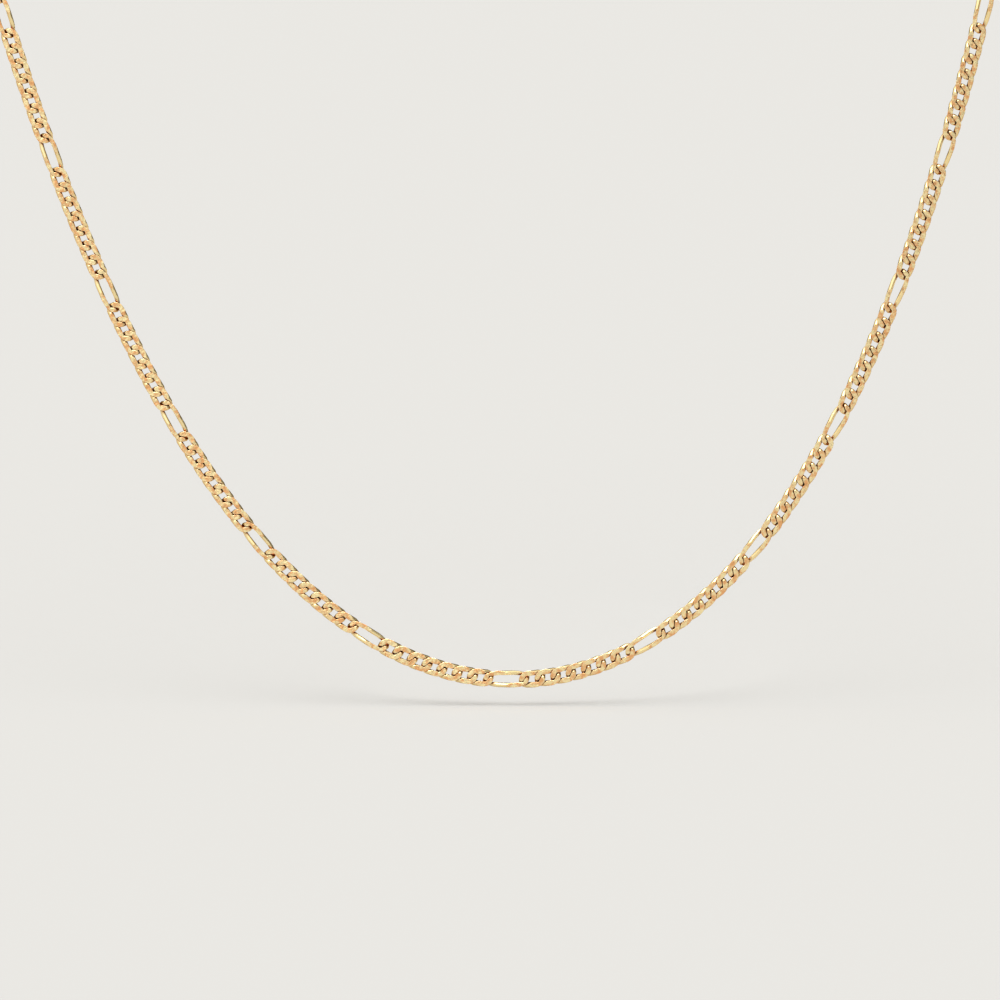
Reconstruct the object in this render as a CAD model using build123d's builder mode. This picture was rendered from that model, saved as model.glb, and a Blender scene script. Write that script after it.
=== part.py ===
from build123d import *
from math import asinh, atan, cos, pi, radians, sin, sinh, sqrt
import os

# A figaro chain, worn as a necklace: flattened curb links in the pattern of seven short and one long,
# closed at the nape by a clasp between two jump rings.
# The frame: +Z is up, +X is to the right seen from the front, and the front hangs at -Y.
# The origin is at the nape, on the face of the clasp that rests against the neck.
# Lengths are millimetres and angles degrees.

# The links
chain_width = 2.0  # across the flat faces
flat_thickness = 0.66  # from flat face to flat face, after grinding
link_wire = 0.5  # diameter of the wire before grinding
play = 0.15  # slack along the chain between two hooked pieces
corner_rise = 0.56  # twist: how far the bend's corners leave the middle plane
corner_bend = 0.6  # bend radius of the wire's centre line at a link's corners
long_link_waist = 0.08  # how much the long link narrows from its middle to its ends, on each side
long_link_bulge = 9.0  # radius of the long link's sides at its middle

# The pattern
short_pitch = 1.965
long_pitch = 4.56
shorts_in_group = 7
groups_on_side = 14  # groups of shorts and one long, on each side of the front long link
extra_left_links = 3  # short links left over after the last group on the left
extra_right_links = 5  # and on the right

# The clasp and its rings
ring_pitch = 3.0
ring_wire = 0.6
clasp_pitch = 9.45
clasp_thickness = 1.3
clasp_width = 5.0
clasp_nose_wall = 1.2
clasp_mouth_length = 3.9  # of the opening that the catch ring sits in
clasp_tail_width = 2.2
clasp_edge_round = 0.4
eye_wire = 0.7
eye_opening = 1.6

# The way the necklace hangs: a catenary at the front, then over the shoulder to the nape
sag_radius = 30.7  # radius of the catenary at its lowest point
front_reach = 62.5  # half of the width at the top of the catenary
front_drop = 140.0  # from the nape down to the lowest point
shoulder_pull = 55.0  # how far the curve carries on upwards at the shoulder
nape_pull = 60.0  # how far it runs sideways at the nape
shoulder_lean = 45.0  # how far the flat faces lean up from level on top of the shoulder

# How the flat faces turn about the chain's own length where the front hangs, outer edge back:
# arc length from the lowest point, to the right, and turn
face_turns = ((-6, 0), (10, 8), (30, 11), (90, 10), (112, 5), (130, 0))

os.makedirs("parts", exist_ok=True)

# Lengths along the loop
group_length = shorts_in_group * short_pitch + long_pitch
side_length = long_pitch / 2 + groups_on_side * group_length
left_length = side_length + extra_left_links * short_pitch
right_length = side_length + extra_right_links * short_pitch
half_loop = (right_length + left_length + 2 * ring_pitch + clasp_pitch) / 2
front_link_shift = (left_length - right_length) / 2
front_arc = sag_radius * sinh(front_reach / sag_radius)
front_height = sqrt(sag_radius**2 + front_arc**2) - sag_radius
clasp_seat = clasp_thickness / 2  # the centre line's distance from the neck


def shoulder_curve(depth):
    """The right half's curve from the top of the catenary to the nape, for a loop of this depth."""
    steepness = atan(sinh(front_reach / sag_radius))
    start = Vector(front_reach, clasp_seat - depth, front_height - front_drop)
    lift = Vector(cos(steepness), 0, sin(steepness)) * shoulder_pull
    nape = Vector(0, clasp_seat, 0)
    with BuildLine():
        curve = Bezier(start, start + lift, nape + Vector(nape_pull, 0, 0), nape)
    return curve


def fitted_depth():
    """The depth from front to nape that gives the loop its length."""
    shallow, deep = 40.0, 160.0
    while deep - shallow > 0.001:
        middle = (shallow + deep) / 2
        if front_arc + shoulder_curve(middle).length < half_loop:
            shallow = middle
        else:
            deep = middle
    return middle


loop_depth = fitted_depth()
shoulder = shoulder_curve(loop_depth)


def route_point(arc):
    """The centre line's point at an arc length from the lowest point, to the right if positive."""
    side = 1 if arc >= 0 else -1
    distance = abs(arc)
    if distance < front_arc:
        reach = sag_radius * asinh(distance / sag_radius)
        height = sqrt(sag_radius**2 + distance**2) - sag_radius
        point = Vector(reach, clasp_seat - loop_depth, height - front_drop)
    else:
        along = min(distance - front_arc, shoulder.length)
        point = shoulder.position_at(along, position_mode=PositionMode.LENGTH)
    return Vector(side * point.X, point.Y, point.Z)


def face_turn(arc):
    """The turn of the flat faces at an arc length, read from the table."""
    for (arc_a, turn_a), (arc_b, turn_b) in zip(face_turns, face_turns[1:]):
        if arc_a <= arc < arc_b:
            return turn_a + (turn_b - turn_a) * (arc - arc_a) / (arc_b - arc_a)
    return 0


def face_direction(arc):
    """Where the flat faces look: forwards at the front, outwards and up over the shoulder, back at the nape."""
    side = 1 if arc >= 0 else -1
    share = max(0, (abs(arc) - front_arc) / (half_loop - front_arc))
    heading = pi * share * share * (3 - 2 * share)
    lean = radians(shoulder_lean) * sin(pi * share) ** 2
    return Vector(side * sin(heading) * cos(lean), -cos(heading) * cos(lean), sin(lean))


def seat_plane(arc_a, arc_b):
    """The plane of a piece hooked between two points of the route: x along the chain, z out of the flat face."""
    start = route_point(arc_a)
    end = route_point(arc_b)
    middle = (arc_a + arc_b) / 2
    along = (end - start).normalized()
    face = face_direction(middle)
    face = (face - along * face.dot(along)).normalized()
    turned = face.rotate(Axis((0, 0, 0), along), face_turn(middle))
    return Plane(origin=(start + end) / 2, x_dir=along, z_dir=turned)


def link_places(first_arc, pitches, direction):
    """The planes of a row of links, those of the short ones and those of the long ones."""
    short_planes = []
    long_planes = []
    arc = first_arc
    for pitch in pitches:
        planes = short_planes if pitch == short_pitch else long_planes
        ends = sorted((arc, arc + direction * pitch))
        planes.append(seat_plane(*ends))
        arc += direction * pitch
    return short_planes, long_planes


# Links

half_width = (chain_width - link_wire) / 2


def ground_flat():
    """Grinds both flat faces of the link that is being built."""
    split(bisect_by=Plane.XY.offset(flat_thickness / 2), keep=Keep.BOTTOM)
    split(bisect_by=Plane.XY.offset(-flat_thickness / 2), keep=Keep.TOP)


short_end = (short_pitch + play + link_wire) / 2

with BuildPart() as short_link:
    with BuildLine() as short_bend:
        FilletPolyline(
            (-short_end, 0, 0),
            (-short_end, half_width, corner_rise),
            (short_end, half_width, -corner_rise),
            (short_end, 0, 0),
            radius=corner_bend,
        )
    with BuildSketch(Plane(origin=short_bend.line @ 0, z_dir=short_bend.line % 0)):
        Circle(link_wire / 2)
    sweep(path=short_bend.line)
    add(short_link.part.rotate(Axis.Z, 180))
    ground_flat()

long_end = (long_pitch + play + link_wire) / 2

with BuildPart() as long_link:
    with BuildLine() as long_bend:
        FilletPolyline(
            (-long_end, 0, 0),
            (-long_end, half_width - long_link_waist, corner_rise),
            (0, half_width + long_link_waist, 0),
            (long_end, half_width - long_link_waist, -corner_rise),
            (long_end, 0, 0),
            radius=(corner_bend, long_link_bulge, corner_bend),
        )
    with BuildSketch(Plane(origin=long_bend.line @ 0, z_dir=long_bend.line % 0)):
        Circle(link_wire / 2)
    sweep(path=long_bend.line)
    add(long_link.part.rotate(Axis.Z, 180))
    ground_flat()

# Left half of the chain, with the front long link

group = [short_pitch] * shorts_in_group + [long_pitch]
left_pitches = [long_pitch] + group * groups_on_side + [short_pitch] * extra_left_links
left_shorts, left_longs = link_places(front_link_shift + long_pitch / 2, left_pitches, -1)

with BuildPart() as chain_left:
    with Locations(*left_shorts):
        add(short_link.part)
    with Locations(*left_longs):
        add(long_link.part)

chain_left.part.label = "chain_left"
export_step(chain_left.part, "parts/chain_left.step")

# Right half of the chain

right_pitches = group * groups_on_side + [short_pitch] * extra_right_links
right_shorts, right_longs = link_places(front_link_shift + long_pitch / 2, right_pitches, 1)

with BuildPart() as chain_right:
    with Locations(*right_shorts):
        add(short_link.part)
    with Locations(*right_longs):
        add(long_link.part)

chain_right.part.label = "chain_right"
export_step(chain_right.part, "parts/chain_right.step")

# Jump rings, across the flat of the links that they hold

ring_radius = (ring_pitch + play + ring_wire) / 2
clasp_arc = half_loop - clasp_pitch / 2

with BuildPart() as jump_ring_left:
    with Locations(seat_plane(-clasp_arc, ring_pitch - clasp_arc)):
        Torus(ring_radius, ring_wire / 2, rotation=(90, 0, 0))

jump_ring_left.part.label = "jump_ring_left"
export_step(jump_ring_left.part, "parts/jump_ring_left.step")

with BuildPart() as jump_ring_right:
    with Locations(seat_plane(clasp_arc - ring_pitch, clasp_arc)):
        Torus(ring_radius, ring_wire / 2, rotation=(90, 0, 0))

jump_ring_right.part.label = "jump_ring_right"
export_step(jump_ring_right.part, "parts/jump_ring_right.step")

# Clasp: a closed lobster shape, its nose at the right of the nape and its eye at the left

clasp_reach = (clasp_pitch + play) / 2  # from the middle to the inner face of either end
nose_radius = clasp_width / 2
nose_centre = nose_radius - clasp_nose_wall - clasp_reach
mouth_width = clasp_width - 2 * clasp_nose_wall
mouth_centre = clasp_mouth_length / 2 - clasp_reach
eye_radius = (eye_opening + eye_wire) / 2
eye_centre = clasp_reach - eye_opening / 2
tail_centre = eye_centre - eye_radius - clasp_tail_width / 2
clasp_start = route_point(clasp_arc)
clasp_end = route_point(-clasp_arc)
clasp_plane = Plane(origin=(clasp_start + clasp_end) / 2, x_dir=clasp_end - clasp_start, z_dir=(0, 1, 0))

with BuildPart() as clasp:
    with BuildSketch(clasp_plane):
        with Locations((nose_centre, 0)):
            Circle(nose_radius)
        with Locations((tail_centre, 0)):
            Circle(clasp_tail_width / 2)
        make_hull()
        with Locations((mouth_centre, 0)):
            SlotOverall(clasp_mouth_length, mouth_width, mode=Mode.SUBTRACT)
    extrude(amount=clasp_thickness / 2, both=True)
    fillet(clasp.faces().filter_by(Axis.Y).edges(), radius=clasp_edge_round)
    with Locations(clasp_plane * Pos(X=eye_centre)):
        Torus(eye_radius, eye_wire / 2)

clasp.part.label = "clasp"
export_step(clasp.part, "parts/clasp.step")
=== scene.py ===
from bisect import bisect_right
from math import asinh, atan, cos, pi, radians, sin, sinh, sqrt, tan
from random import Random

import bmesh
import bpy
from bpy.props import (
    FloatProperty,
    FloatVectorProperty,
    IntProperty,
    PointerProperty,
    StringProperty,
)
from mathutils import Matrix, Vector
from mathutils.geometry import interpolate_bezier


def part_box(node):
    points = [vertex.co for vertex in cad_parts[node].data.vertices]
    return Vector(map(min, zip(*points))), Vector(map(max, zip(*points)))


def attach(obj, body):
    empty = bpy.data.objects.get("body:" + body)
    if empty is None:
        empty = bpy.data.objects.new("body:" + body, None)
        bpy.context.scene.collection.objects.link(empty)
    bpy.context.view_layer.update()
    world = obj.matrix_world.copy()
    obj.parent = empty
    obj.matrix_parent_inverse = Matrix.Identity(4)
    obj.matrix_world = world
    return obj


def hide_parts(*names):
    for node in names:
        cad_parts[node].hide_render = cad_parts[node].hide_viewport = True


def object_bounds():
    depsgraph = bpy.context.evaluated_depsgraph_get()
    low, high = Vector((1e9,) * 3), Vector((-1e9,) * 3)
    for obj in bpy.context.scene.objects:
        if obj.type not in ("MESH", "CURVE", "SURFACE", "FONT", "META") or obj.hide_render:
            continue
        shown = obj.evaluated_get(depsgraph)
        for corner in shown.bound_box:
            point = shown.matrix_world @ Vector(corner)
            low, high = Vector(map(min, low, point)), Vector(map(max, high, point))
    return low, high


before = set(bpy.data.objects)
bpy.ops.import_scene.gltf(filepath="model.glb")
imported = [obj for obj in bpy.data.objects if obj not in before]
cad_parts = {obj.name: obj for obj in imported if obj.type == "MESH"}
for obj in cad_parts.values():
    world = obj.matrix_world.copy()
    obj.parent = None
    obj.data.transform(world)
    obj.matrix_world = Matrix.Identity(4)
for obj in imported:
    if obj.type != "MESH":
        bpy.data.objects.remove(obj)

# A figaro chain in polished yellow gold, hanging as a necklace over a pale floor.
# Lengths are metres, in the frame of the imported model: +Z up, front at -Y, origin at the nape.

bl_info = {
    "name": "Figaro Chain",
    "version": (1, 0, 0),
    "blender": (4, 5, 0),
    "location": "View3D > Sidebar > Figaro Chain",
    "description": "Builds a flattened figaro chain necklace, its gold finishes and a studio stage",
    "category": "Add Mesh",
}

MM = 0.001
CAD_LOW, CAD_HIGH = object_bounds()
CLASP_LOW, CLASP_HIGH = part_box("clasp")


# Sizes and colours that a user would change

class RouteSettings(bpy.types.PropertyGroup):
    """The line that the necklace hangs in."""

    sag_radius: FloatProperty(
        name="Sag radius", description="Radius of the front's catenary at its lowest point",
        default=30.7 * MM, unit="LENGTH",
    )
    front_reach: FloatProperty(
        name="Front reach", description="Half of the width at the top of the catenary",
        default=62.5 * MM, unit="LENGTH",
    )
    front_drop: FloatProperty(
        name="Front drop", description="From the nape down to the lowest point of the centre line",
        default=140.0 * MM, unit="LENGTH",
    )
    shoulder_pull: FloatProperty(
        name="Shoulder pull", description="How far the curve carries on upwards at the shoulder",
        default=55.0 * MM, unit="LENGTH",
    )
    nape_pull: FloatProperty(
        name="Nape pull", description="How far the curve runs sideways at the nape",
        default=60.0 * MM, unit="LENGTH",
    )
    shoulder_lean: FloatProperty(
        name="Shoulder lean", description="How far the flat faces lean up on top of the shoulder",
        default=radians(45.0), unit="ROTATION",
    )


class LinkSettings(bpy.types.PropertyGroup):
    """The links and their pattern."""

    width: FloatProperty(
        name="Chain width", description="Across the flat faces", default=2.14 * MM, unit="LENGTH",
    )
    thickness: FloatProperty(
        name="Chain thickness", description="From flat face to flat face, after grinding",
        default=0.56 * MM, unit="LENGTH",
    )
    wire: FloatProperty(
        name="Wire", description="Diameter of the wire before grinding",
        default=0.66 * MM, unit="LENGTH",
    )
    long_wire: FloatProperty(
        name="Long link's wire", description="Diameter of the wire of a long link",
        default=0.56 * MM, unit="LENGTH",
    )
    play: FloatProperty(
        name="Play", description="Slack along the chain between two hooked links",
        default=0.04 * MM, unit="LENGTH",
    )
    corner_rise: FloatProperty(
        name="Twist", description="How far a link's corners leave its middle plane",
        default=0.6 * MM, unit="LENGTH",
    )
    corner_bend: FloatProperty(
        name="Corner bend", description="Bend radius of the wire's centre line at a link's corners",
        default=0.52 * MM, unit="LENGTH",
    )
    slant: FloatProperty(
        name="Slant", description="How far a link's front corners lie nearer its middle than its ends",
        default=0.3 * MM, unit="LENGTH",
    )
    waist: FloatProperty(
        name="Long link's waist", description="How much the long link narrows to its ends, per side",
        default=0.09 * MM, unit="LENGTH",
    )
    bulge: FloatProperty(
        name="Long link's bulge", description="Radius of the long link's sides at its middle",
        default=9.0 * MM, unit="LENGTH",
    )
    long_taper: FloatProperty(
        name="Long link's taper", description="Length over which the long link narrows at each end",
        default=1.0 * MM, unit="LENGTH",
    )
    long_nose: FloatProperty(
        name="Long link's nose", description="Width of the long link's ends as a share of its width",
        default=0.7, min=0.3, max=0.95,
    )
    short_pitch: FloatProperty(
        name="Short pitch", description="Length of chain that a short link makes",
        default=1.965 * MM, unit="LENGTH",
    )
    long_pitch: FloatProperty(
        name="Long pitch", description="Length of chain that a long link makes",
        default=4.56 * MM, unit="LENGTH",
    )
    shorts_in_group: IntProperty(
        name="Shorts in a group", description="Short links between two long ones", default=7, min=1,
    )
    groups_on_side: IntProperty(
        name="Groups on a side", description="Groups on each side of the front long link",
        default=14, min=1,
    )
    extra_left: IntProperty(
        name="Last links on the left", description="Short links after the last group",
        default=3, min=0,
    )
    extra_right: IntProperty(
        name="Last links on the right", description="Short links after the last group",
        default=5, min=0,
    )
    ring_pitch: FloatProperty(
        name="Ring pitch", description="Length of chain that a jump ring makes",
        default=3.0 * MM, unit="LENGTH",
    )
    clasp_pitch: FloatProperty(
        name="Clasp pitch", description="Length of chain that the clasp makes",
        default=9.45 * MM, unit="LENGTH",
    )
    wobble: FloatProperty(
        name="Wobble", description="How far single links turn away from the chain's even lie",
        default=radians(1.6), unit="ROTATION",
    )
    wire_sides: IntProperty(
        name="Wire sides", description="Sides of the wire's round section", default=8, min=6, max=16,
    )
    seed: IntProperty(name="Seed", description="Seed of the links' wobble", default=11)


class FinishSettings(bpy.types.PropertyGroup):
    """The colours of the gold, as sRGB hex values."""

    bright_gold: StringProperty(
        name="Bright gold", description="Colour of the polished wire", default="#FFE8AE",
    )
    deep_gold: StringProperty(
        name="Deep gold", description="Colour of the ground faces", default="#FFEBB4",
    )
    rose_gold: StringProperty(
        name="Rose gold", description="Warmer patches of the ground faces", default="#F0B278",
    )
    edge_tint: StringProperty(
        name="Edge tint", description="Colour that the gold keeps where it is seen at a low angle",
        default="#F0C070",
    )
    # Painted shade: this dark brown is mixed into the gold's colour where ambient occlusion finds the
    # gaps between the links. Its reach is how far that search looks.
    gap_shade: StringProperty(
        name="Recess", description="Colour of the gaps between the links", default="#8A3A02",
    )
    gap_shade_reach: FloatProperty(
        name="Recess reach", description="How far a neighbouring surface darkens the gold",
        default=0.6 * MM, unit="LENGTH",
    )
    edge_round: FloatProperty(
        name="Edge rounding", description="Radius that polishing leaves on the ground faces' edges",
        default=0.1 * MM, unit="LENGTH",
    )
    mottle: FloatProperty(
        name="Mottle size", description="Width of the ripples that grinding leaves",
        default=0.4 * MM, unit="LENGTH",
    )


class StageSettings(bpy.types.PropertyGroup):
    """The floor, the lights and the camera."""

    backdrop: StringProperty(
        name="Backdrop", description="Colour seen past the floor", default="#E9E8E4",
    )
    floor: StringProperty(name="Floor", description="Colour of the floor's paint", default="#B6B5B3")
    floor_gap: FloatProperty(
        name="Floor gap", description="From the chain's lowest edge down to the floor",
        default=2.35 * MM, unit="LENGTH",
    )
    floor_slope: FloatProperty(
        name="Floor slope", description="How far the floor rises to the back",
        default=radians(4.0), unit="ROTATION",
    )
    floor_radius: FloatProperty(
        name="Floor radius", description="From the middle to the floor's edge",
        default=20.0, unit="LENGTH",
    )
    softbox_power: FloatProperty(
        name="Softbox power", description="Strength of the light overhead, in W/m²", default=2.7,
    )
    softbox_spread: FloatProperty(
        name="Softbox spread", description="Angle across the light overhead",
        default=radians(50.0), unit="ROTATION",
    )
    softbox_tilt: FloatProperty(
        name="Softbox tilt", description="How far the light overhead leans to the front",
        default=radians(20.0), unit="ROTATION",
    )
    softbox_lean: FloatProperty(
        name="Softbox lean", description="How far the light overhead leans to the left",
        default=radians(8.0), unit="ROTATION",
    )
    glow_side: FloatVectorProperty(
        name="Glow side", description="Where the studio is brightest", default=(-0.35, -0.45, 0.82),
        size=3, subtype="DIRECTION",
    )
    glow_core: FloatProperty(
        name="Glow core", description="Cosine of the angle to that side inside which the glow is full",
        default=0.85, min=0.1, max=1.0,
    )
    front_glow: FloatProperty(
        name="Front glow", description="Brightness of the studio at its brightest side",
        default=1.6,
    )
    back_glow: FloatProperty(
        name="Back glow", description="Brightness of the studio across and behind that side",
        default=0.28,
    )
    lens: FloatProperty(name="Lens", description="Focal length", default=400.0, unit="CAMERA")
    picture_width: FloatProperty(
        name="Picture width", description="Width of the view at the chain's front",
        default=125.15 * MM, unit="LENGTH",
    )
    elevation: FloatProperty(
        name="Elevation", description="How far the camera looks down",
        default=radians(4.0), unit="ROTATION",
    )
    roll: FloatProperty(
        name="Roll", description="How far the chain leans to the left in the view",
        default=radians(2.1), unit="ROTATION",
    )
    aim: FloatVectorProperty(
        name="Aim", description="The view's middle, right and up from the centre line's lowest point",
        default=(-2.735 * MM, 22.46 * MM), size=2, unit="LENGTH",
    )


# How the flat faces turn about the chain's own length where the front hangs, outer edge back:
# arc length in mm from the lowest point, to the right, and turn in degrees
FACE_TURNS = ((-6, 0), (10, 8), (30, 11), (90, 10), (112, 5), (130, 0))


# The route of the centre line

class Route:
    """The necklace's centre line by arc length from its lowest point, to the right if positive."""

    samples = 4000
    front_offset = (CLASP_LOW.y + CLASP_HIGH.y) / 2

    def __init__(self, sizes, half_loop):
        self.sizes = sizes
        self.half_loop = half_loop
        self.front_arc = sizes.sag_radius * sinh(sizes.front_reach / sizes.sag_radius)
        self.depth = self.fitted_depth()
        self.points, self.arcs = self.shoulder(self.depth)

    def shoulder(self, depth):
        """Points of the curve from the top of the catenary to the nape, and their arc lengths."""
        sizes = self.sizes
        steepness = atan(sinh(sizes.front_reach / sizes.sag_radius))
        height = sqrt(sizes.sag_radius**2 + self.front_arc**2) - sizes.sag_radius
        start = Vector((sizes.front_reach, self.front_offset - depth, height - sizes.front_drop))
        lift = Vector((cos(steepness), 0, sin(steepness))) * sizes.shoulder_pull
        nape = Vector((0, self.front_offset, 0))
        side = nape + Vector((sizes.nape_pull, 0, 0))
        points = interpolate_bezier(start, start + lift, side, nape, self.samples)
        arcs = [0.0]
        for first, second in zip(points, points[1:]):
            arcs.append(arcs[-1] + (second - first).length)
        return points, arcs

    def fitted_depth(self):
        """The depth from front to nape that gives the loop its length, found between two limits."""
        shallow, deep = 40 * MM, 160 * MM
        while deep - shallow > 0.001 * MM:
            middle = (shallow + deep) / 2
            if self.front_arc + self.shoulder(middle)[1][-1] < self.half_loop:
                shallow = middle
            else:
                deep = middle
        return middle

    def point(self, arc):
        side = 1 if arc >= 0 else -1
        distance = abs(arc)
        sag = self.sizes.sag_radius
        if distance < self.front_arc:
            reach = sag * asinh(distance / sag)
            height = sqrt(sag**2 + distance**2) - sag
            front = self.front_offset - self.depth
            return Vector((side * reach, front, height - self.sizes.front_drop))
        along = min(distance - self.front_arc, self.arcs[-1])
        after = min(max(bisect_right(self.arcs, along), 1), len(self.arcs) - 1)
        share = (along - self.arcs[after - 1]) / (self.arcs[after] - self.arcs[after - 1])
        point = self.points[after - 1].lerp(self.points[after], share)
        return Vector((side * point.x, point.y, point.z))

    def face(self, arc):
        """Where the flat faces look: forwards at the front, outwards over the shoulder, then back."""
        side = 1 if arc >= 0 else -1
        share = max(0, (abs(arc) - self.front_arc) / (self.half_loop - self.front_arc))
        heading = pi * share * share * (3 - 2 * share)
        lean = self.sizes.shoulder_lean * sin(pi * share) ** 2
        return Vector((side * sin(heading) * cos(lean), -cos(heading) * cos(lean), sin(lean)))

    def seat(self, arc_a, arc_b):
        """The place of a piece hooked between two points: x along the chain, z out of its face."""
        start, end = self.point(arc_a), self.point(arc_b)
        middle = (arc_a + arc_b) / 2
        along = (end - start).normalized()
        face = self.face(middle)
        face = (face - along * face.dot(along)).normalized()
        face = Matrix.Rotation(radians(face_turn(middle / MM)), 3, along) @ face
        axes = Matrix((along, face.cross(along), face)).transposed()
        return Matrix.Translation((start + end) / 2) @ axes.to_4x4()


def face_turn(arc):
    """The turn of the flat faces in degrees, read from the table."""
    for (arc_a, turn_a), (arc_b, turn_b) in zip(FACE_TURNS, FACE_TURNS[1:]):
        if arc_a <= arc < arc_b:
            return turn_a + (turn_b - turn_a) * (arc - arc_a) / (arc_b - arc_a)
    return 0


# Small helpers

def settings():
    return bpy.context.scene.figaro_chain


def linear(hex_value):
    """An sRGB hex value as a linear colour with alpha."""
    channels = [int(hex_value[i:i + 2], 16) / 255 for i in (1, 3, 5)]
    curve = [c / 12.92 if c <= 0.04045 else ((c + 0.055) / 1.055) ** 2.4 for c in channels]
    return (*curve, 1.0)


def add_node(tree, kind, inputs=None, links=None, **values):
    """Adds a node with its settings, its socket values and its incoming links."""
    node = tree.nodes.new(kind)
    for name, value in values.items():
        setattr(node, name, value)
    for name, value in (inputs or {}).items():
        node.inputs[name].default_value = value
    for name, socket in (links or {}).items():
        tree.links.new(socket, node.inputs[name])
    return node


def new_material(name):
    """An empty node material, its tree and its output."""
    material = bpy.data.materials.new(name)
    material.use_nodes = True
    tree = material.node_tree
    tree.nodes.clear()
    return material, tree, tree.nodes.new("ShaderNodeOutputMaterial")


def show(bm, name, materials):
    """Makes a shown object from a bmesh, and frees it."""
    mesh = bpy.data.meshes.new(name)
    bm.to_mesh(mesh)
    bm.free()
    for material in materials:
        mesh.materials.append(material)
    piece = bpy.data.objects.new(name, mesh)
    bpy.context.scene.collection.objects.link(piece)
    return piece


# Finishes

# The share of its surroundings that a point sees by ambient occlusion, where the painted gap shade is
# full and where it ends
PAINTED_SHADE_FROM, PAINTED_SHADE_TO = 0.57, 0.98


def painted_shade_factor(tree, finish):
    """How open a point lies, by ambient occlusion: 0 in the gaps between the links, where the gold gets
    painted shade.
    """
    gap = add_node(
        tree, "ShaderNodeAmbientOcclusion", {"Distance": finish.gap_shade_reach}, samples=8,
    )
    share = add_node(
        tree, "ShaderNodeMapRange",
        {"From Min": PAINTED_SHADE_FROM, "From Max": PAINTED_SHADE_TO}, {"Value": gap.outputs["AO"]},
    )
    return share.outputs["Result"]


def rippled_metal(tree, finish, place, colour, ripple_width, relief, strength, roughness):
    """A metal shader with ripples and polished-off edges, and its output socket."""
    ripple = add_node(
        tree, "ShaderNodeTexNoise",
        {"Scale": 1.0 / ripple_width, "Detail": 2.0, "Roughness": 0.5}, {"Vector": place},
    )
    edges = add_node(tree, "ShaderNodeBevel", {"Radius": finish.edge_round}, samples=6)
    bump = add_node(
        tree, "ShaderNodeBump", {"Strength": strength, "Distance": relief},
        {"Height": ripple.outputs["Fac"], "Normal": edges.outputs["Normal"]},
    )
    metal = add_node(
        tree, "ShaderNodeBsdfPrincipled",
        {"Metallic": 1.0, "Roughness": roughness, "Specular Tint": linear(finish.edge_tint)},
        {"Base Color": colour, "Normal": bump.outputs["Normal"]},
    )
    return metal.outputs["BSDF"]


def polished_gold(finish):
    """Drawn and tumble-polished yellow gold: a mirror with soft ripples, so highlights break up."""
    if "polished_gold" in bpy.data.materials:
        return bpy.data.materials["polished_gold"]
    material, tree, output = new_material("polished_gold")
    place = add_node(tree, "ShaderNodeTexCoord").outputs["Object"]
    # Painted shade: the polished gold turns to the dark gap colour where it lies closed in between the
    # links.
    colour = add_node(
        tree, "ShaderNodeMix", {"A": linear(finish.gap_shade), "B": linear(finish.bright_gold)},
        {"Factor": painted_shade_factor(tree, finish)}, data_type="RGBA",
    ).outputs["Result"]
    surface = rippled_metal(
        tree, finish, place, colour,
        ripple_width=2 * finish.mottle, relief=0.08 * MM, strength=0.5, roughness=0.12,
    )
    tree.links.new(surface, output.inputs["Surface"])
    return material


def ground_gold(finish):
    """Gold ground flat and lightly buffed: rippled faces with warm orange and yellow patches."""
    if "ground_gold" in bpy.data.materials:
        return bpy.data.materials["ground_gold"]
    material, tree, output = new_material("ground_gold")
    place = add_node(tree, "ShaderNodeTexCoord").outputs["Object"]
    patches = add_node(
        tree, "ShaderNodeTexNoise",
        {"Scale": 0.6 / finish.mottle, "Detail": 3.0, "Roughness": 0.6}, {"Vector": place},
    )
    spread = add_node(
        tree, "ShaderNodeMapRange",
        {"From Min": 0.42, "From Max": 0.6}, {"Value": patches.outputs["Fac"]},
    )
    mottled = add_node(
        tree, "ShaderNodeMix", {"A": linear(finish.deep_gold), "B": linear(finish.rose_gold)},
        {"Factor": spread.outputs["Result"]}, data_type="RGBA",
    )
    # Painted shade: the ground gold turns to the dark gap colour where it lies closed in between the
    # links.
    colour = add_node(
        tree, "ShaderNodeMix", {"A": linear(finish.gap_shade)},
        {"Factor": painted_shade_factor(tree, finish), "B": mottled.outputs["Result"]}, data_type="RGBA",
    ).outputs["Result"]
    surface = rippled_metal(
        tree, finish, place, colour,
        ripple_width=finish.mottle, relief=0.1 * MM, strength=1.0, roughness=0.19,
    )
    tree.links.new(surface, output.inputs["Surface"])
    return material


def floor_paint(stage):
    """Matt pale paint: it only shows the soft shadow under the chain."""
    material, tree, output = new_material("floor_paint")
    paint = add_node(
        tree, "ShaderNodeBsdfPrincipled",
        {"Base Color": linear(stage.floor), "Roughness": 1.0, "Specular IOR Level": 0.0},
    )
    tree.links.new(paint.outputs["BSDF"], output.inputs["Surface"])
    return material


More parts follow.
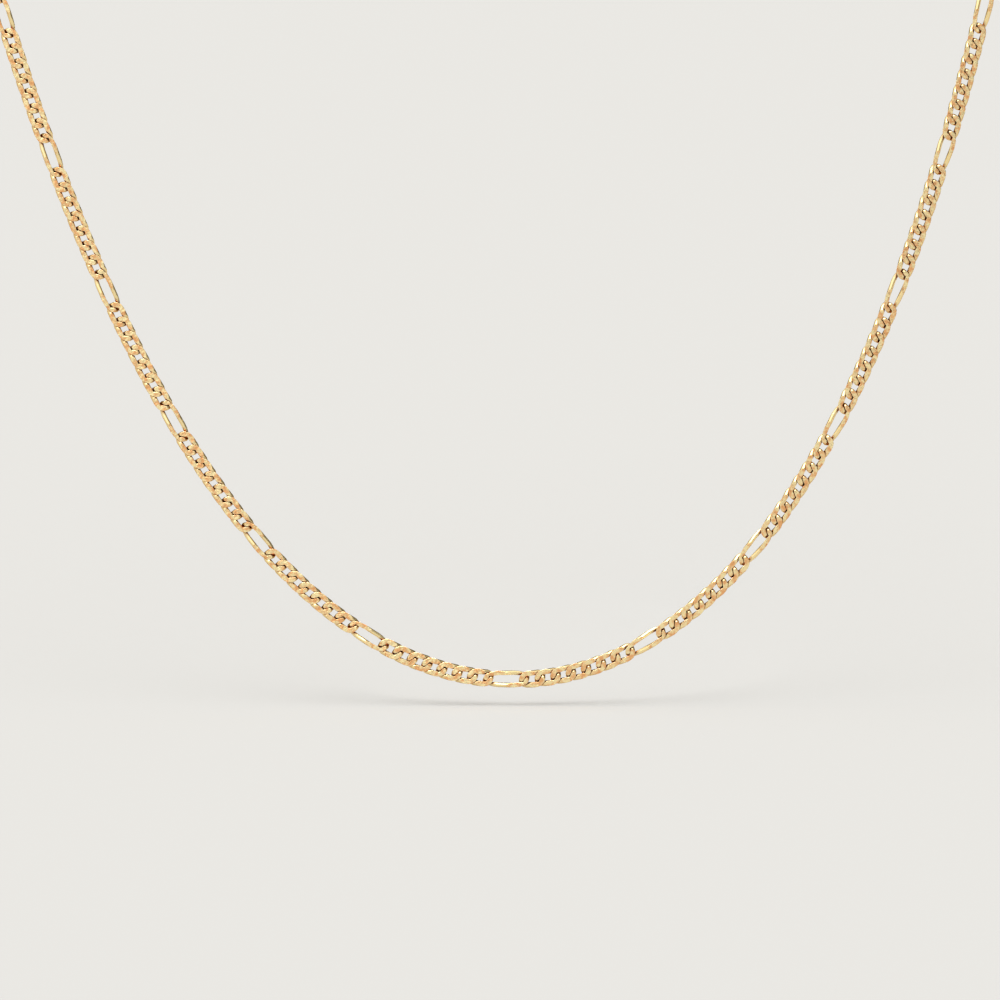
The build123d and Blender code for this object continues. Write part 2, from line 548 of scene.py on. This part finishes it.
def studio_world(stage):
    """A plain backdrop to look at, and a studio to reflect, brightest high up in front on the left."""
    world = bpy.data.worlds.new("studio")
    world.use_nodes = True
    tree = world.node_tree
    tree.nodes.clear()
    direction = add_node(tree, "ShaderNodeTexCoord").outputs["Generated"]
    towards = add_node(
        tree, "ShaderNodeVectorMath", {1: Vector(stage.glow_side).normalized()}, {0: direction},
        operation="DOT_PRODUCT",
    )
    glow = add_node(
        tree, "ShaderNodeMapRange",
        {"From Max": stage.glow_core, "To Min": stage.back_glow, "To Max": stage.front_glow},
        {"Value": towards.outputs["Value"]}, interpolation_type="SMOOTHSTEP",
    )
    lit = add_node(
        tree, "ShaderNodeBackground", {"Color": linear(stage.backdrop)},
        {"Strength": glow.outputs["Result"]},
    )
    seen = add_node(tree, "ShaderNodeBackground", {"Color": linear(stage.backdrop), "Strength": 1.0})
    ray = add_node(tree, "ShaderNodeLightPath").outputs["Is Camera Ray"]
    chosen = add_node(
        tree, "ShaderNodeMixShader",
        links={"Fac": ray, 1: lit.outputs["Background"], 2: seen.outputs["Background"]},
    )
    add_node(tree, "ShaderNodeOutputWorld", links={"Surface": chosen.outputs["Shader"]})
    return world


# Links

ARC_STEP = radians(46)  # aimed-at turn of one step round a bend
LONG_NOSE_BEND = 0.4 * MM  # bend radius at a long link's corners
LONG_SIDE_BEND = 0.9 * MM  # bend radius where its sides begin to narrow
LONG_NOSE_TWIST = 0.9  # share of the twist at a long link's corners
LONG_SIDE_TWIST = 0.6  # share of the twist where its sides begin to narrow


def extruded(bm, edges, offset):
    """Extrudes a ring of edges by an offset, and gives the new ring."""
    made = bmesh.ops.extrude_edge_only(bm, edges=edges)["geom"]
    verts = [item for item in made if isinstance(item, bmesh.types.BMVert)]
    bmesh.ops.translate(bm, vec=offset, verts=verts)
    ends = set(verts)
    return [e for e in made if isinstance(e, bmesh.types.BMEdge) and set(e.verts) <= ends]


def bent_wire(bm, corners, bends, wire, sides):
    """Sweeps a round wire from the first bend to the last, and gives both end rings."""
    full_section = sqrt(2 * pi / (sides * sin(2 * pi / sides)))  # as much gold as in the round wire
    first_ring = ring = None
    here = None
    for before, corner, after, bend in zip(corners, corners[1:], corners[2:], bends):
        into = (corner - before).normalized()
        out = (after - corner).normalized()
        turn = into.angle(out)
        setback = bend * tan(turn / 2)
        bend_start = corner - into * setback
        if ring is None:
            aim = into.to_track_quat("Z", "Y").to_matrix().to_4x4()
            circle = bmesh.ops.create_circle(
                bm, cap_ends=False, segments=sides, radius=wire / 2 * full_section,
                matrix=Matrix.Translation(bend_start) @ aim,
            )
            first_ring = ring = list(dict.fromkeys(e for v in circle["verts"] for e in v.link_edges))
        else:
            ring = extruded(bm, ring, bend_start - here)
        inward = (out - into * out.dot(into)).normalized()
        spun = bmesh.ops.spin(
            bm, geom=ring, cent=bend_start + inward * bend, axis=into.cross(out).normalized(),
            dvec=(0, 0, 0), angle=turn, space=Matrix(), steps=max(1, round(turn / ARC_STEP)),
            use_merge=False, use_normal_flip=False, use_duplicate=False,
        )
        ring = [item for item in spun["geom_last"] if isinstance(item, bmesh.types.BMEdge)]
        here = corner + out * setback
    return first_ring, ring


def ground_flat(bm, thickness):
    """Grinds both flat faces: cuts the wire at their planes and closes it with sharp-edged faces."""
    for face in bm.faces:
        face.smooth = True
    for side in (1, -1):
        cut = bmesh.ops.bisect_plane(
            bm, geom=bm.verts[:] + bm.edges[:] + bm.faces[:], dist=1e-8,
            plane_co=(0, 0, side * thickness / 2), plane_no=(0, 0, side),
            clear_outer=True, clear_inner=False,
        )
        rim = [item for item in cut["geom_cut"] if isinstance(item, bmesh.types.BMEdge)]
        ground = bmesh.ops.holes_fill(bm, edges=rim, sides=0)["faces"]
        for face in ground:
            face.smooth = False
            face.material_index = 1
            for edge in face.edges:
                edge.smooth = False
    bmesh.ops.recalc_face_normals(bm, faces=bm.faces[:])


def link_mesh(name, half_corners, bends, wire, thickness, sides):
    """A closed link from one side of it: the other is the same, half a turn on."""
    bm = bmesh.new()
    starts, ends = bent_wire(bm, half_corners, bends, wire, sides)
    whole = bmesh.ops.duplicate(bm, geom=bm.verts[:] + bm.edges[:] + bm.faces[:])
    match = whole["edge_map"]
    other_starts = [match[e] for e in starts]
    other_ends = [match[e] for e in ends]
    moved = [item for item in whole["geom"] if isinstance(item, bmesh.types.BMVert)]
    bmesh.ops.rotate(bm, cent=(0, 0, 0), matrix=Matrix.Rotation(pi, 3, "Z"), verts=moved)
    bmesh.ops.bridge_loops(bm, edges=ends + other_starts)
    bmesh.ops.bridge_loops(bm, edges=other_ends + starts)
    ground_flat(bm, thickness)
    mesh = bpy.data.meshes.new(name)
    bm.to_mesh(mesh)
    bm.free()
    return mesh


def short_link(sizes):
    reach = (sizes.short_pitch + sizes.wire + sizes.play) / 2
    half_width = (sizes.width - sizes.wire) / 2
    corners = [
        Vector((-reach, 0, 0)),
        Vector((-reach + sizes.slant, half_width, sizes.corner_rise)),
        Vector((reach + sizes.slant, half_width, -sizes.corner_rise)),
        Vector((reach, 0, 0)),
    ]
    bends = [sizes.corner_bend] * 2
    return link_mesh("short_link", corners, bends, sizes.wire, sizes.thickness, sizes.wire_sides)


def long_link(sizes):
    reach = (sizes.long_pitch + sizes.long_wire + sizes.play) / 2
    half_width = (sizes.width - sizes.long_wire) / 2
    nose_width = half_width * sizes.long_nose
    nose_rise = sizes.corner_rise * LONG_NOSE_TWIST
    nose_slant = sizes.slant * sizes.long_nose
    side_width = half_width - sizes.waist
    side_rise = sizes.corner_rise * LONG_SIDE_TWIST
    side_reach = reach - sizes.long_taper
    corners = [
        Vector((-reach, 0, 0)),
        Vector((-reach + nose_slant, nose_width, nose_rise)),
        Vector((-side_reach, side_width, side_rise)),
        Vector((0, half_width + sizes.waist, 0)),
        Vector((side_reach, side_width, -side_rise)),
        Vector((reach + nose_slant, nose_width, -nose_rise)),
        Vector((reach, 0, 0)),
    ]
    bends = [LONG_NOSE_BEND, LONG_SIDE_BEND, sizes.bulge, LONG_SIDE_BEND, LONG_NOSE_BEND]
    return link_mesh("long_link", corners, bends, sizes.long_wire, sizes.thickness, sizes.wire_sides)


def row_of_links(route, first_arc, pitches, direction, meshes, wobble, random):
    """One bmesh with a row of hooked links, each a little out of line."""
    bm = bmesh.new()
    arc = first_arc
    for pitch in pitches:
        ends = sorted((arc, arc + direction * pitch))
        place = route.seat(*ends)
        for axis in "XYZ":
            place = place @ Matrix.Rotation(random.uniform(-wobble, wobble), 4, axis)
        known = len(bm.verts)
        bm.from_mesh(meshes[pitch])
        bm.verts.ensure_lookup_table()
        bmesh.ops.transform(bm, matrix=place, verts=bm.verts[known:])
        arc += direction * pitch
    return bm


def loop_lengths(sizes):
    """Half of the loop, and how far the front long link hangs to the right of the lowest point."""
    group = sizes.shorts_in_group * sizes.short_pitch + sizes.long_pitch
    side = sizes.long_pitch / 2 + sizes.groups_on_side * group
    left = side + sizes.extra_left * sizes.short_pitch
    right = side + sizes.extra_right * sizes.short_pitch
    return (left + right + 2 * sizes.ring_pitch + sizes.clasp_pitch) / 2, (left - right) / 2


def lowest_point():
    """Where the centre line hangs lowest."""
    half_loop, _ = loop_lengths(settings().links)
    return Route(settings().route, half_loop).point(0)


# Operators

class FIGARO_OT_chain(bpy.types.Operator):
    """Makes both halves of the chain, which hook into each other at the front"""

    bl_idname = "figaro.chain"
    bl_label = "Chain"

    def execute(self, context):
        sizes = settings().links
        half_loop, shift = loop_lengths(sizes)
        route = Route(settings().route, half_loop)
        meshes = {sizes.short_pitch: short_link(sizes), sizes.long_pitch: long_link(sizes)}
        group = [sizes.short_pitch] * sizes.shorts_in_group + [sizes.long_pitch]
        groups = group * sizes.groups_on_side
        left = [sizes.long_pitch] + groups + [sizes.short_pitch] * sizes.extra_left
        right = groups + [sizes.short_pitch] * sizes.extra_right
        first_arc = shift + sizes.long_pitch / 2
        random = Random(sizes.seed)
        finishes = [polished_gold(settings().finish), ground_gold(settings().finish)]
        for name, pitches, direction in (("left", left, -1), ("right", right, 1)):
            bm = row_of_links(route, first_arc, pitches, direction, meshes, sizes.wobble, random)
            piece = show(bm, f"figaro_links_{name}", finishes)
            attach(piece, "root")
            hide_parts(f"chain_{name}")
        for mesh in meshes.values():
            bpy.data.meshes.remove(mesh)
        return {"FINISHED"}


class FIGARO_OT_findings(bpy.types.Operator):
    """Gives the clasp and the jump rings their gold"""

    bl_idname = "figaro.findings"
    bl_label = "Clasp and rings"

    def execute(self, context):
        gold = polished_gold(settings().finish)
        for node in ("clasp", "jump_ring_left", "jump_ring_right"):
            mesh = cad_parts[node].data
            mesh.materials.clear()
            mesh.materials.append(gold)
        return {"FINISHED"}


class FIGARO_OT_stage(bpy.types.Operator):
    """Makes the floor, the soft lights and the camera"""

    bl_idname = "figaro.stage"
    bl_label = "Stage"

    def execute(self, context):
        stage = settings().stage
        self.make_floor(stage)
        self.make_softbox(stage)
        self.make_camera(stage)
        context.scene.world = studio_world(stage)
        context.scene.view_settings.view_transform = "Standard"
        return {"FINISHED"}

    def make_floor(self, stage):
        """A round floor that rises to the back and fills the view."""
        bm = bmesh.new()
        lowest = lowest_point()
        below = Matrix.Translation(lowest) @ Matrix.Rotation(stage.roll, 4, "Y")
        below = below @ Matrix.Translation((0, 0, CAD_LOW.z - lowest.z - stage.floor_gap))
        slope = Matrix.Rotation(stage.floor_slope, 4, "X")
        bmesh.ops.create_circle(
            bm, cap_ends=True, segments=128, radius=stage.floor_radius, matrix=below @ slope,
        )
        show(bm, "floor", [floor_paint(stage)])

    def make_softbox(self, stage):
        """A wide soft light overhead, equally strong all over the floor."""
        light = bpy.data.lights.new("overhead_softbox", "SUN")
        light.energy = stage.softbox_power
        light.angle = stage.softbox_spread
        lamp = bpy.data.objects.new("overhead_softbox", light)
        lamp.rotation_euler = (stage.softbox_tilt, -stage.softbox_lean, 0)
        bpy.context.scene.collection.objects.link(lamp)

    def make_camera(self, stage):
        """Looks at the hanging front, rolled so that the chain leans as it does in the view."""
        camera = bpy.data.cameras.new("camera")
        camera.lens = stage.lens
        camera.sensor_width = 36.0
        camera.clip_start, camera.clip_end = 0.01, 100.0
        distance = stage.picture_width * camera.lens / camera.sensor_width
        look = Matrix.Rotation(pi / 2 - stage.elevation, 3, "X") @ Matrix.Rotation(-stage.roll, 3, "Z")
        offset = look @ Vector((stage.aim[0], stage.aim[1], distance))
        eye = bpy.data.objects.new("camera", camera)
        eye.matrix_world = Matrix.Translation(lowest_point() + offset) @ look.to_4x4()
        bpy.context.scene.collection.objects.link(eye)
        bpy.context.scene.camera = eye


class FigaroSettings(bpy.types.PropertyGroup):
    """All sizes and colours of the necklace and its stage."""

    route: PointerProperty(
        type=RouteSettings, name="Route", description="The line that the necklace hangs in",
    )
    links: PointerProperty(type=LinkSettings, name="Links", description="The links and their pattern")
    finish: PointerProperty(type=FinishSettings, name="Finish", description="The colours of the gold")
    stage: PointerProperty(type=StageSettings, name="Stage", description="The floor, lights and camera")


class FIGARO_PT_panel(bpy.types.Panel):
    """Lists the necklace's operators and settings"""

    bl_label = "Figaro Chain"
    bl_idname = "FIGARO_PT_panel"
    bl_space_type = "VIEW_3D"
    bl_region_type = "UI"
    bl_category = "Figaro Chain"

    def draw(self, context):
        chosen = context.scene.figaro_chain
        for title, group, operators in (
            ("Route", chosen.route, ()),
            ("Links", chosen.links, ("figaro.chain", "figaro.findings")),
            ("Finish", chosen.finish, ()),
            ("Stage", chosen.stage, ("figaro.stage",)),
        ):
            box = self.layout.box()
            box.label(text=title)
            for name in group.__annotations__:
                box.prop(group, name)
            for operator in operators:
                box.operator(operator)


CLASSES = (
    RouteSettings,
    LinkSettings,
    FinishSettings,
    StageSettings,
    FigaroSettings,
    FIGARO_OT_chain,
    FIGARO_OT_findings,
    FIGARO_OT_stage,
    FIGARO_PT_panel,
)


def register():
    for cls in CLASSES:
        bpy.utils.register_class(cls)
    bpy.types.Scene.figaro_chain = PointerProperty(type=FigaroSettings)


def unregister():
    del bpy.types.Scene.figaro_chain
    for cls in reversed(CLASSES):
        bpy.utils.unregister_class(cls)


def main():
    register()
    bpy.ops.figaro.chain()
    bpy.ops.figaro.findings()
    bpy.ops.figaro.stage()


if __name__ == "__main__":
    main()
